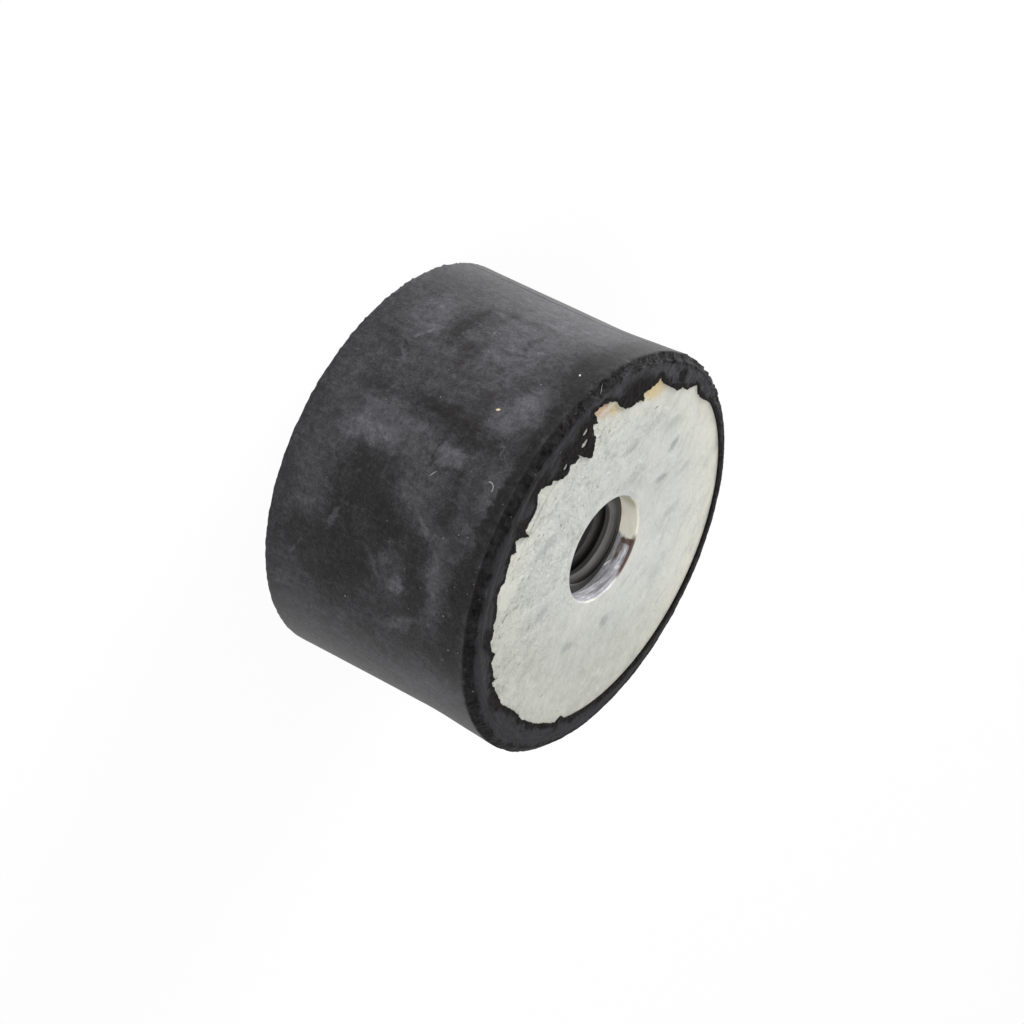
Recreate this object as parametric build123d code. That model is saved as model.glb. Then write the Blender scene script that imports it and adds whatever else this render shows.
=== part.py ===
from build123d import *
import os
from math import cos, radians, sin

os.makedirs("parts", exist_ok=True)

# Rubber body, in millimetres. It stands on its sole, with the steel plate on top.
body_diameter = 25.0        # widest, at the parting line where the mould closed
body_height = 15.0          # from the sole to the top of the lip
waist_inset = 0.3           # how far the free rubber has shrunk in from the parting line
flare_height = 4.4          # the stretch under the parting line that widens towards the plate
flare_blend_radius = 30.0   # the soft bend where the waist turns into the flare
band_height = 0.4           # the trimmed band above the parting line
band_inset = 0.4            # how far that band leans in

# Lip, the skin of rubber that laps over the plate's rim
lip_thickness = 0.15
rim_wall = 0.9              # rubber outside the plate's rim, if the insert sat central

# Steel insert: the plate and the bush behind it
insert_shift = 0.4          # the insert lay this far off centre in the mould, towards -X
plate_thickness = 1.2
plate_hole_diameter = 6.6   # clears an M6 screw
hole_edge_radius = 0.12     # the rolled edge that punching leaves
bush_diameter = 10.0
bush_length = 6.6
bush_floor = 1.0            # steel left under the blind bore
bush_edge_radius = 0.6
thread_diameter = 6.0       # M6
thread_pitch = 1.0
mouth_chamfer = 0.25        # lead-in of the thread

# Torn edge of the lip: the angle in degrees round the insert, then how far the rubber covers
# the plate, inwards from the plate's rim. A tongue reaches far in, a notch only a little way.
torn_edge = [
    (160.0, 0.55), (163.0, 0.75), (166.0, 0.95), (170.5, 1.00), (172.5, 0.75), (174.0, 0.65),
    (176.0, 0.90), (179.0, 1.35), (182.0, 1.25), (185.5, 1.60), (188.0, 1.50), (193.0, 1.45),
    (197.0, 1.20), (198.0, 0.95), (199.6, 0.95), (200.3, 1.25), (205.0, 1.55), (207.5, 1.60),
    (206.9, 1.90), (205.9, 2.20), (208.2, 2.05), (211.0, 2.10), (213.5, 2.20), (217.5, 2.10),
    (220.7, 1.65), (222.2, 1.25), (226.0, 0.80), (229.5, 0.60), (234.2, 0.52), (233.4, 1.00),
    (232.8, 1.55), (235.5, 1.25), (235.4, 1.90), (234.4, 2.50), (235.4, 2.75), (237.6, 3.60),
    (238.8, 3.50), (242.0, 2.95), (245.0, 2.15), (244.6, 2.50), (247.0, 2.55), (249.5, 2.20),
    (250.3, 2.45), (253.0, 2.55), (256.7, 2.00), (257.8, 1.55), (259.2, 1.65), (260.6, 1.20),
    (262.5, 0.85), (264.5, 0.85), (267.2, 1.40), (270.0, 1.55), (276.0, 1.45), (277.6, 2.10),
    (278.3, 1.20), (280.0, 0.85), (283.3, 1.42), (283.9, 0.95), (287.5, 1.05), (293.3, 1.20),
    (294.2, 0.85), (297.0, 0.80), (305.8, 1.10), (307.0, 0.88), (310.0, 1.05), (313.0, 0.77),
    (317.0, 0.85), (319.8, 1.15), (321.5, 0.85), (329.5, 0.85), (330.3, 0.62), (338.0, 0.73),
    (343.0, 0.70), (351.0, 0.94), (356.5, 0.94), (359.0, 0.75), (370.0, 0.65), (382.5, 0.45),
    (385.0, 0.85), (387.0, 0.52),
]
moulded_edge_middle = (75.0, 0.12)   # the rest of the edge is whole, one arc through here

# Windows torn through the tongues: angle, cover, length round the rim, width
torn_windows = [
    (239.0, 1.30, 0.50, 0.42),
    (240.3, 2.05, 0.74, 0.46),
    (251.4, 1.95, 0.46, 0.46),
]

body_radius = body_diameter / 2
waist_radius = body_radius - waist_inset
band_top_radius = body_radius - band_inset
parting_height = body_height - band_height
plate_radius = body_radius - rim_wall
plate_face = body_height - lip_thickness
plate_back = plate_face - plate_thickness
bush_radius = bush_diameter / 2
tap_radius = (thread_diameter - thread_pitch) / 2
insert_centre = Pos(-insert_shift, 0)


def rubber_profile():
    """Half section of the body, from the axis out to the sharp edge of the sole and up to the lip."""
    flare_start = (waist_radius, parting_height - flare_height)
    outline = Polyline(
        (0, 0),
        (waist_radius, 0),
        flare_start,
        (body_radius, parting_height),
        (band_top_radius, body_height),
        (0, body_height),
        close=True,
    )
    section = make_face(outline)
    bend = section.vertices().sort_by_distance(flare_start)[0]
    section = fillet(bend, flare_blend_radius)
    return Plane.XZ * section


def on_plate(angle, cover):
    """A point of the lip: its angle round the insert and its cover over the plate."""
    reach = plate_radius - cover
    return (reach * cos(radians(angle)), reach * sin(radians(angle)))


def lip_opening():
    """What the lip leaves bare: the torn edge, closed by the arc that is still whole."""
    torn = Polyline(*[on_plate(angle, cover) for angle, cover in torn_edge])
    whole = ThreePointArc(torn @ 1, on_plate(*moulded_edge_middle), torn @ 0)
    opening = make_face(torn + whole)
    for angle, cover, length, width in torn_windows:
        window = Pos(*on_plate(angle, cover)) * Rot(0, 0, angle) * Ellipse(width / 2, length / 2)
        opening += window
    return opening


def plate_blank():
    """The plate before its hole is punched."""
    return insert_centre * extrude(Pos(0, 0, plate_back) * Circle(plate_radius), plate_thickness)


def bush_blank():
    """The bush before its bore is drilled, hanging from the back of the plate."""
    blank = insert_centre * extrude(Pos(0, 0, plate_back) * Circle(bush_radius), -bush_length)
    lower_edge = blank.edges().group_by(Axis.Z)[0]
    return fillet(lower_edge, min(bush_edge_radius, bush_floor))


def make_rubber_body():
    """One moulding, bonded round the insert, with its torn lip over the plate."""
    body = revolve(rubber_profile(), Axis.Z)
    bared = extrude(Pos(0, 0, plate_face) * insert_centre * lip_opening(), lip_thickness)
    return body - plate_blank() - bush_blank() - bared


def make_mounting_plate():
    """A blanked steel disc with a plain hole, its edges rolled over by the punch."""
    hole = insert_centre * extrude(
        Pos(0, 0, plate_back) * Circle(plate_hole_diameter / 2), plate_thickness
    )
    plate = plate_blank() - hole
    rims = plate.edges().filter_by(GeomType.CIRCLE)
    hole_rims = rims.filter_by(lambda rim: rim.radius < bush_radius)
    return fillet(hole_rims.sort_by(Axis.Z)[-1], hole_edge_radius)


def make_threaded_bush():
    """A round steel bush with a blind bore, at the size drilled for the thread."""
    bore_depth = bush_length - bush_floor
    bore = insert_centre * extrude(Pos(0, 0, plate_back) * Circle(tap_radius), -bore_depth)
    bush = bush_blank() - bore
    mouth = bush.edges().group_by(Axis.Z)[-1].sort_by(lambda rim: rim.radius)[0]
    return chamfer(mouth, mouth_chamfer)


pieces = {
    "rubber_body": make_rubber_body(),
    "mounting_plate": make_mounting_plate(),
    "threaded_bush": make_threaded_bush(),
}

for name, piece in pieces.items():
    export_step(piece, f"parts/{name}.step")
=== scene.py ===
# %% [markdown]
# # A rubber foot with a steel plate bonded into its end
# The part was built in CAD and packed, and its three pieces are loaded here as the frame.
# This lesson dresses them: the rubber gets its ragged edges, its torn lip and its dusty bloom,
# the plate its dull zinc, and the bush behind it a real thread.
# All sizes below are in millimetres and are multiplied by MM, because Blender works in metres.

from math import atan2, cos, degrees, exp, hypot, pi, radians, sin

import bpy
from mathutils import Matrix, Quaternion, Vector
from mathutils.kdtree import KDTree


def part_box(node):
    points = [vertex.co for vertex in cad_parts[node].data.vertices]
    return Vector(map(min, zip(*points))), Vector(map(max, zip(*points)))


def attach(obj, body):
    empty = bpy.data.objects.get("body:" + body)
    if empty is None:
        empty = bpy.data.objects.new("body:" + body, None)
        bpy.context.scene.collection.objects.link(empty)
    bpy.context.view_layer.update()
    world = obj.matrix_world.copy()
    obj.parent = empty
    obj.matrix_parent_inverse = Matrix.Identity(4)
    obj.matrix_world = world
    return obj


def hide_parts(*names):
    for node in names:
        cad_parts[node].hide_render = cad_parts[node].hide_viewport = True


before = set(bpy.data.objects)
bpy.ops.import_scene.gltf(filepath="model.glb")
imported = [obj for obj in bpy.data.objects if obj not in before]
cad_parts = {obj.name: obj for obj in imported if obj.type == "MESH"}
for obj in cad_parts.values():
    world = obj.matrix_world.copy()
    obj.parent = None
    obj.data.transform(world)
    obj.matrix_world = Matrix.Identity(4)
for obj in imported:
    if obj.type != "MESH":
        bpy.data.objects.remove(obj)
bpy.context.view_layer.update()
MM = 0.001
doubles = 0.0005 * MM       # points nearer than this are one point
hair = 0.01                 # mm, the slack in rules that pick points by their place
print("pieces of the part:", sorted(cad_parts))

# %% [markdown]
# ## Sizes that the looks share
# The box of each CAD piece gives the main sizes, so that nothing is measured twice.
# The plate and its bush lie a little off the middle of the rubber, as they did in the mould.
# Angles run anticlockwise round the foot, seen from above, with 0 degrees towards +X.

# %% Sizes from the frame
body_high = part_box("rubber_body")[1]
plate_low, plate_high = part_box("mounting_plate")
bush_low, bush_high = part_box("threaded_bush")
body_radius = body_high.x / MM
body_height = body_high.z / MM
plate_face = plate_high.z / MM
plate_back = plate_low.z / MM
plate_radius = (plate_high.y - plate_low.y) / 2 / MM
bush_radius = (bush_high.y - bush_low.y) / 2 / MM
bush_foot = bush_low.z / MM
insert_x = (plate_high.x + plate_low.x) / 2 / MM
print("body", round(body_radius, 2), "x", round(body_height, 2))
print("plate", round(plate_radius, 2), "from", round(plate_back, 2), "to", round(plate_face, 2))
print("insert off centre by", round(insert_x, 2))

# %% [markdown]
# ## Helpers for modelling
# A turned or moulded round piece starts as half of its section: one point that is extruded from
# corner to corner, as a pen draws a line. Spinning that line round the axis makes the solid.
# An operator acts on everything that is selected, so each helper first clears the selection.

# %% Draw a section and spin it
def draw_line(name, points):
    """Draws a chain of edges through (radius, height) points and leaves it in edit mode."""
    bpy.ops.object.select_all(action="DESELECT")
    bpy.ops.mesh.primitive_plane_add(size=MM)
    piece = bpy.context.object
    piece.name = name
    bpy.ops.object.mode_set(mode="EDIT")
    bpy.ops.mesh.select_all(action="SELECT")
    bpy.ops.mesh.merge(type="CENTER")
    pen = (0.0, 0.0)
    for number, (x, z) in enumerate(points):
        step = {"value": ((x - pen[0]) * MM, 0, (z - pen[1]) * MM)}
        if number == 0:
            bpy.ops.transform.translate(**step)
        else:
            bpy.ops.mesh.extrude_vertices_move(TRANSFORM_OT_translate=step)
        pen = (x, z)
    return piece


def tidy_solid():
    """Merges the doubles of the piece in edit mode and turns its faces outwards."""
    bpy.ops.mesh.select_all(action="SELECT")
    bpy.ops.mesh.remove_doubles(threshold=doubles)
    bpy.ops.mesh.normals_make_consistent(inside=False)


def wind_section(name, points, steps, rise=0.0, turns=1):
    """Winds a section round the upright axis with a Screw modifier and leaves it in edit mode.
    With a rise for each turn it climbs as a thread does, and without one it closes on itself."""
    piece = draw_line(name, points)
    bpy.ops.object.mode_set(mode="OBJECT")
    wind = piece.modifiers.new("wind", "SCREW")
    wind.angle = 2 * pi
    wind.steps = wind.render_steps = steps
    wind.screw_offset = rise * MM
    wind.iterations = turns
    bpy.ops.object.modifier_apply(modifier=wind.name)
    bpy.ops.object.mode_set(mode="EDIT")
    tidy_solid()
    return piece


def spin_section(name, points, steps, axis_x=0.0):
    """A solid of revolution round an axis that stands at axis_x."""
    piece = wind_section(name, points, steps)
    bpy.ops.transform.translate(value=(axis_x * MM, 0, 0))
    bpy.ops.object.mode_set(mode="OBJECT")
    print(name, "has", len(piece.data.vertices), "points")
    return piece


# %% [markdown]
# ## Select by place
# By hand, points are picked in the window. Here a rule picks them: it gets each point's angle
# round an axis, its distance from that axis and its height, and says yes or no.

# %% Select points by a rule
def polar_place(point, axis_x=0.0):
    """A point's angle in degrees, and its distance from the axis and height in millimetres."""
    x, y = point.x / MM - axis_x, point.y / MM
    return degrees(atan2(y, x)) % 360, hypot(x, y), point.z / MM


def select_points(piece, rule, axis_x=0.0):
    """In edit mode, selects the points for which rule(angle, distance, height) is true."""
    bpy.ops.mesh.select_mode(type="VERT")
    bpy.ops.mesh.select_all(action="DESELECT")
    bpy.ops.object.mode_set(mode="OBJECT")
    chosen = [v for v in piece.data.vertices if rule(*polar_place(v.co, axis_x))]
    for v in chosen:
        v.select = True
    bpy.ops.object.mode_set(mode="EDIT")
    return len(chosen)


def cut_away(piece, cutter):
    """Cuts one closed solid out of another with an exact Boolean and deletes the cutter."""
    cut = piece.modifiers.new("cut", "BOOLEAN")
    cut.operation = "DIFFERENCE"
    cut.solver = "EXACT"
    cut.object = cutter
    bpy.context.view_layer.objects.active = piece
    bpy.ops.object.modifier_apply(modifier=cut.name)
    bpy.data.objects.remove(cutter, do_unlink=True)
    print(piece.name, "after the cut:", len(piece.data.polygons), "faces")


def count_open_edges(piece):
    """Leaves edit mode and prints how many edges are open. A closed solid has none."""
    bpy.ops.mesh.select_all(action="DESELECT")
    bpy.ops.mesh.select_non_manifold()
    bpy.ops.object.mode_set(mode="OBJECT")
    print(piece.name, "has", sum(e.select for e in piece.data.edges), "open edges")


def smooth(piece, angle):
    """Shades the piece smooth, but for edges where the surface turns by more than the angle."""
    bpy.ops.object.select_all(action="DESELECT")
    piece.select_set(True)
    bpy.context.view_layer.objects.active = piece
    bpy.ops.object.shade_smooth_by_angle(angle=radians(angle))
    print(piece.name, "has", len(piece.data.polygons), "faces")


# %% [markdown]
# ## The rubber body
# The foot was moulded standing on its sole. Its side is straight and widens a little under the
# parting line, where the mould closed, and above that line a trimmed band leans inwards.
# Rows of points lie close together where the rubber is ragged: at the sole's edge, at the
# parting line, on the band and on the lip. Between them the side needs few rows.

# %% Section of the rubber
waist_radius = 12.2
flare_start = 10.2
flare_blend = 1.0           # half the length of the soft bend at the flare
parting_height = 14.6
band_top_radius = 12.1
lip_reach = 7.9             # inside the deepest tongue of the lip


def side_radius(height):
    """Radius of the side: straight, then a soft bend, then a straight flare."""
    slope = (body_radius - waist_radius) / (parting_height - flare_start)
    past = height - flare_start
    if past <= -flare_blend:
        return waist_radius
    if past >= flare_blend:
        return waist_radius + slope * past
    return waist_radius + slope * (past + flare_blend) ** 2 / (4 * flare_blend)


def evenly(start, end, count):
    """The start and the points after it, evenly spaced, without the end."""
    return [start + (end - start) * i / count for i in range(count)]


side_heights = evenly(0, 0.3, 5) + evenly(0.3, 13.2, 17) + evenly(13.2, 14.2, 4)
side_heights += evenly(14.2, parting_height, 7)
section = [(0, 0), (waist_radius - 0.1, 0)]
section += [(side_radius(z), z) for z in side_heights]
section += [
    (body_radius + (band_top_radius - body_radius) * t, parting_height + (body_height - parting_height) * t)
    for t in evenly(0, 1, 9)
]
section += [(r, body_height) for r in evenly(band_top_radius, 11.2, 14) + evenly(11.2, lip_reach, 28)]
section += [(lip_reach, body_height), (0, body_height)]
rubber = spin_section("rubber_foot", section, steps=1080)

# %% [markdown]
# ## Ragged edges
# The flash at the parting line was torn off, so its edge is frayed and the band above it is
# full of small pits. The sole's edge is scalloped, and the lip is wrinkled where it tore.
# Displace modifiers do this: each pushes points inwards by a cloud pattern, and a vertex group
# says how strongly at each place. Nothing is pushed outwards, so the foot keeps its size.

# %% Where each kind of roughness lies
depths = {
    "side": 0.025,
    "parting line": 0.14,
    "strip": 0.17,
    "strip grit": 0.13,
    "lip": 0.07,
    "lip grit": 0.05,
    "sole edge": 0.12,
}
rim_skin = 0.05             # rubber that is always left over the plate's rim
most_of_rest = 0.4          # a push takes no more than this share of the rubber above that
soft_edge = 0.5             # mm over which the roughness of the band and the lip fades


def bump_of(value, middle, width):
    """1 at the middle, falling softly to 0 over the width on both sides."""
    return exp(-(((value - middle) / width) ** 2))


def torn_side(angle):
    """1 where the rim was torn, falling to a little on the side that came out clean."""
    return 0.22 + 0.78 * max(bump_of(angle, 235, 60), bump_of(angle, 310, 40))


def ramp_up(value, start, end):
    """0 before the start, 1 past the end and a straight line between them."""
    return min(max((value - start) / (end - start), 0), 1)


def roughness_weights(angle, distance, height, from_insert):
    """How strongly each kind of roughness acts at a point of the rubber."""
    band = (height - parting_height) / (body_height - parting_height)
    on_top = height > body_height - 0.1 * hair
    along = band if not on_top else 1 + (band_top_radius - distance) / soft_edge
    strip = torn_side(angle) * bump_of(along, 0.7, 0.7) if band > 0.02 else 0.0
    lip = ramp_up(plate_radius + 0.1 - from_insert, 0, soft_edge) if on_top else 0.0
    at_parting = bump_of(hypot(distance - body_radius, height - parting_height), 0, 0.14)
    sole_edge = bump_of(height, 0, 0.12) if distance > waist_radius - hair else 0.0
    weights = {
        "side": 1.0 if 0.3 < height < 14.0 else 0.3,
        "parting line": at_parting * (0.35 + 0.65 * torn_side(angle)),
        "strip": strip,
        "strip grit": strip,
        "lip": lip,
        "lip grit": lip,
        "sole edge": sole_edge * (0.35 + 0.65 * bump_of(angle, 220, 35)),
    }
    to_plate = hypot(max(from_insert - plate_radius, 0), max(height - plate_face, 0))
    for name in ("parting line", "strip", "strip grit", "lip", "lip grit"):
        most = most_of_rest * max(to_plate - rim_skin, 0) / depths[name]
        weights[name] = min(weights[name], most)
    return weights


groups = {}
for v in rubber.data.vertices:
    angle, distance, height = polar_place(v.co)
    from_insert = hypot(v.co.x / MM - insert_x, v.co.y / MM)
    for name, weight in roughness_weights(angle, distance, height, from_insert).items():
        if name not in groups:
            groups[name] = rubber.vertex_groups.new(name=name)
        if weight > 0.01:
            groups[name].add([v.index], weight, "REPLACE")
print("roughness groups:", sorted(groups))

# %% Push the points in
def roughen(piece, group, grain, detail, contrast=1.6):
    """Pushes a vertex group inwards by clouds of the given grain, as deep as the list says."""
    clouds = bpy.data.textures.new(group, "CLOUDS")
    clouds.noise_scale = grain * MM
    clouds.noise_depth = detail
    clouds.contrast = contrast
    clouds.use_clamp = True
    push = piece.modifiers.new(group, "DISPLACE")
    push.texture = clouds
    push.texture_coords = "LOCAL"
    push.vertex_group = group
    push.mid_level = 0
    push.strength = -depths[group] * MM
    bpy.context.view_layer.objects.active = piece
    bpy.ops.object.modifier_apply(modifier=push.name)


roughen(rubber, "side", grain=4.0, detail=2)
roughen(rubber, "parting line", grain=0.6, detail=4, contrast=2.4)
roughen(rubber, "strip", grain=1.1, detail=3, contrast=2.2)
roughen(rubber, "strip grit", grain=0.28, detail=2)
roughen(rubber, "lip", grain=0.8, detail=2, contrast=2.2)
roughen(rubber, "lip grit", grain=0.25, detail=2)
roughen(rubber, "sole edge", grain=0.5, detail=3, contrast=2.4)
print("rubber now reaches", [round(x / MM, 3) for x in rubber.dimensions])

# %% [markdown]
# ## Notches, the slit and the little spike
# On the far side the rim has a few marks of its own: notches, one slit that runs towards the
# plate, and a small spike of flash between two hollows. Points are picked by angle and moved with
# a soft falloff, which Blender calls proportional editing.

# %% Marks on the rim
rim_inner, rim_low = 12.3, 14.5     # the rim lies outside this radius and above this height
slit_angle = 194.4
slit_slant = 1.8            # degrees that the slit turns with each millimetre outwards
slit_middle = 12
slit_reach = 0.22           # degrees on each side


def pull(angle, inwards, down, reach):
    """Moves the rim at one angle, and softly what is near it, all in millimetres."""
    found = select_points(rubber, lambda a, r, z: abs(a - angle) < 0.2 and r > rim_inner and z > rim_low)
    away = Vector((cos(radians(angle)), sin(radians(angle)), 0)) * -inwards * MM
    bpy.ops.transform.translate(
        value=(away.x, away.y, -down * MM),
        use_proportional_edit=True,
        proportional_edit_falloff="SMOOTH",
        proportional_size=reach * MM,
    )
    return found


def slit_line(angle, distance):
    """How far in degrees a point lies from the slit, which slants a little across the rim."""
    return abs(angle - slit_angle + (distance - slit_middle) * slit_slant)


bpy.context.view_layer.objects.active = rubber
rubber.select_set(True)
bpy.ops.object.mode_set(mode="EDIT")
notches = [    # angle, inwards, down, reach
    (176.5, 0.12, 0.0, 0.3), (171.0, 0.26, 0.05, 0.4), (167.3, 0.10, 0.0, 0.25), (163.0, 0.12, 0.0, 0.3),
    (155.5, 0.20, 0.05, 0.35), (148.0, 0.10, 0.0, 0.3), (142.0, 0.18, 0.04, 0.35), (136.0, 0.09, 0.0, 0.3),
]
hollows = [
    (181.3, 0.09, 0.0, 0.45), (188.7, 0.08, 0.0, 0.45), (213.0, 0.07, 0.0, 0.4), (229.0, 0.08, 0.0, 0.5),
]
for angle, inwards, down, reach in notches + hollows:
    print("notch at", angle, "from", pull(angle, inwards, down, reach), "points")
print("spike from", pull(185.0, -0.045, 0.0, 0.22), "points")
for low, high, above, inwards, down in ((12.02, 12.48, 14.6, 0.06, 0.28), (11.45, 12.02, 14.9, 0, 0.12)):
    found = select_points(
        rubber, lambda a, r, z: slit_line(a, r) < slit_reach and low < r <= high and z > above
    )
    bpy.ops.transform.translate(value=(inwards * MM, 0, -down * MM))
    print("slit from", found, "points")
bpy.ops.object.mode_set(mode="OBJECT")

# %% [markdown]
# ## The pocket for the steel
# The plate and its bush lay in the mould, and the rubber flowed round them. So the same form is
# turned as a cutter and taken out of the rubber. What is left over the plate is the thin lip.

# %% Cut the pocket
bush_edge = 0.6
round_edge = [
    (bush_radius - bush_edge * (1 - cos(t)), bush_foot + bush_edge * (1 - sin(t)))
    for t in evenly(0, pi / 2, 6) + [pi / 2]
]
pocket_section = [(0, plate_face), (plate_radius, plate_face), (plate_radius, plate_back)]
pocket_section += [(bush_radius, plate_back)] + round_edge + [(0, bush_foot)]
pocket = spin_section("pocket", pocket_section, steps=192, axis_x=insert_x)
cut_away(rubber, pocket)

# %% [markdown]
# ## The torn lip
# The CAD piece already has the outline of the tear, with its tongues and windows. A copy of that
# piece is stripped down to the upper edge of the tear. The edge is then split into short pieces
# and moved by two cloud patterns, which fray it, and drawn down into a cutter. The far side of
# the lip is the clean edge that the mould left, so a vertex group keeps it as it is.

# %% Take the outline of the tear from the frame
tear = bpy.data.objects.new("tear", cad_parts["rubber_body"].data.copy())
bpy.context.collection.objects.link(tear)
bpy.ops.object.select_all(action="DESELECT")
tear.select_set(True)
bpy.context.view_layer.objects.active = tear
bpy.ops.object.mode_set(mode="EDIT")
bpy.ops.mesh.select_all(action="SELECT")
bpy.ops.mesh.remove_doubles(threshold=doubles)
bpy.ops.mesh.select_mode(type="FACE")
bpy.ops.mesh.select_all(action="DESELECT")
bpy.ops.object.mode_set(mode="OBJECT")
for face in tear.data.polygons:
    lowest = min(tear.data.vertices[i].co.z for i in face.vertices)
    face.select = not (abs(face.normal.z) < 0.01 and lowest > (plate_face - hair) * MM)
bpy.ops.object.mode_set(mode="EDIT")
bpy.ops.mesh.delete(type="FACE")
select_points(tear, lambda a, r, z: z < body_height - hair or r > band_top_radius - 0.05)
bpy.ops.mesh.delete(type="VERT")
bpy.ops.object.mode_set(mode="OBJECT")
print("tear outline:", len(tear.data.edges), "edges")

# %% Split and shake the edge
def split_edges(piece, longest):
    """Halves every edge that is longer than the limit, until none is."""
    while True:
        ends = [[piece.data.vertices[i].co for i in e.vertices] for e in piece.data.edges]
        long_ones = [i for i, (a, b) in enumerate(ends) if (a - b).length > longest * MM]
        if not long_ones:
            break
        bpy.ops.object.mode_set(mode="EDIT")
        bpy.ops.mesh.select_mode(type="EDGE")
        bpy.ops.mesh.select_all(action="DESELECT")
        bpy.ops.object.mode_set(mode="OBJECT")
        for i in long_ones:
            piece.data.edges[i].select = True
        bpy.ops.object.mode_set(mode="EDIT")
        bpy.ops.mesh.subdivide(number_cuts=1)
        bpy.ops.object.mode_set(mode="OBJECT")


tear_start, tear_end = 158, 28      # degrees: the edge is torn from here round to there
split_edges(tear, longest=0.05)
torn = tear.vertex_groups.new(name="torn")
for v in tear.data.vertices:
    angle, reach, height = polar_place(v.co, insert_x)
    if angle > tear_start or angle < tear_end:
        torn.add([v.index], 1.0, "REPLACE")

# %% Fray the edge
def fray_edge(piece, group, grain, amount):
    """Moves a group of points by coloured clouds: red moves them along X and green along Y."""
    clouds = bpy.data.textures.new(group, "CLOUDS")
    clouds.cloud_type = "COLOR"
    clouds.noise_scale = grain * MM
    clouds.noise_depth = 3
    fray = piece.modifiers.new(group, "DISPLACE")
    fray.texture = clouds
    fray.texture_coords = "LOCAL"
    fray.direction = "RGB_TO_XYZ"
    fray.vertex_group = group
    fray.mid_level = 0.5
    fray.strength = amount * MM
    bpy.ops.object.modifier_apply(modifier=fray.name)


fray_edge(tear, "torn", grain=0.24, amount=0.20)
fray_edge(tear, "torn", grain=0.12, amount=0.06)
bpy.ops.object.mode_set(mode="EDIT")
bpy.ops.mesh.select_all(action="SELECT")
bpy.ops.transform.resize(value=(1, 1, 0), center_override=(0, 0, body_height * MM))
bpy.ops.object.mode_set(mode="OBJECT")
tear_points = [v.co.copy() for v in tear.data.vertices]
print("frayed outline:", len(tear.data.edges), "edges")

# %% Draw the edge down into a cutter and cut
cutter_top = body_height + 0.2
cutter_foot = plate_face - 0.3
bpy.ops.object.mode_set(mode="EDIT")
bpy.ops.mesh.select_mode(type="VERT")
bpy.ops.mesh.select_all(action="SELECT")
bpy.ops.transform.translate(value=(0, 0, (cutter_top - body_height) * MM))
bpy.ops.mesh.extrude_edges_move(TRANSFORM_OT_translate={"value": (0, 0, (cutter_foot - cutter_top) * MM)})
select_points(tear, lambda a, r, z: z > cutter_top - hair)
bpy.ops.mesh.fill()
select_points(tear, lambda a, r, z: z < cutter_foot + hair)
bpy.ops.mesh.fill()
tidy_solid()
count_open_edges(tear)
cut_away(rubber, tear)
smooth(rubber, 50)

# %% [markdown]
# Fresh rubber shows along the tear and is blacker than the skin. So each point of the rubber
# keeps how far it lies from the tear, as an attribute that its material can read.

# %% Write down the distance from the tear
near = KDTree(len(tear_points))
for number, point in enumerate(tear_points):
    near.insert(point, number)
near.balance()
from_tear = rubber.data.attributes.new("from_tear", "FLOAT", "POINT")
for v, value in zip(rubber.data.vertices, from_tear.data):
    value.value = min(near.find(v.co)[2] / MM, 5.0)
print("points within 0.3 mm of the tear:", sum(value.value < 0.3 for value in from_tear.data))

# %% [markdown]
# ## The steel plate
# The plate is a disc stamped from sheet, with a plain hole that clears the screw. Punching rolls
# the upper edge of the hole over, so that edge gets a small bevel. The section is a closed loop
# that doesn't touch the axis, so the spin leaves the hole open.

# %% Turn the plate
hole_radius = 3.3
rolled_edge = 0.12
plate_section = [
    (hole_radius, plate_back),
    (hole_radius, plate_face),
    (plate_radius, plate_face),
    (plate_radius, plate_back),
    (hole_radius, plate_back),
]
plate = wind_section("steel_plate", plate_section, steps=256)
select_points(plate, lambda a, r, z: r < hole_radius + hair and z > plate_face - hair)
bpy.ops.mesh.bevel(offset=rolled_edge * MM, segments=5, affect="EDGES")
bpy.ops.mesh.select_all(action="SELECT")
bpy.ops.transform.translate(value=(insert_x * MM, 0, 0))
bpy.ops.object.mode_set(mode="OBJECT")
smooth(plate, 40)

# %% [markdown]
# ## The threaded bush
# The bush is a turned steel pot with a blind bore. Its thread is cut as a tap would cut it. All
# the teeth of the tap are drawn one above the other, and a Screw modifier winds them through one
# turn while they climb by one pitch, so that each tooth meets the next. Two steps stay open, one
# at each end, and are filled. The closed tap is then taken out of the bush.

# %% Turn the bush
bore_radius = 2.5
bore_foot = bush_foot + 1   # the floor of the bush is 1 mm thick
mouth = 0.25
bush_section = [
    (0, bore_foot),
    (bore_radius, bore_foot),
    (bore_radius, plate_back - mouth),
    (bore_radius + mouth, plate_back),
    (bush_radius, plate_back),
]
bush_section += round_edge + [(0, bush_foot)]
bush = spin_section("steel_bush", bush_section, steps=128, axis_x=insert_x)

# %% Wind the tap and cut the thread
pitch = 1.0
crest_radius = 3.0
core_radius = 2.4
crest_half = pitch / 16
flank = 0.577               # the tangent of 30 degrees
core_half = crest_half + (crest_radius - core_radius) * flank
thread_foot = bore_foot + 0.8
teeth = 6
tap_line = [(0, thread_foot)]
for tooth in range(teeth):
    low = thread_foot + tooth * pitch
    middle = low + pitch / 2
    tap_line += [(core_radius, low), (core_radius, middle - core_half), (crest_radius, middle - crest_half)]
    tap_line += [(crest_radius, middle + crest_half), (core_radius, middle + core_half)]
tap_line += [(core_radius, thread_foot + teeth * pitch), (0, thread_foot + teeth * pitch)]
tap = wind_section("tap", tap_line, steps=96, rise=pitch)
bpy.ops.mesh.select_all(action="DESELECT")
bpy.ops.mesh.select_non_manifold()
bpy.ops.mesh.fill()
tidy_solid()
bpy.ops.transform.translate(value=(insert_x * MM, 0, 0))
count_open_edges(tap)
cut_away(bush, tap)
smooth(bush, 25)

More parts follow.
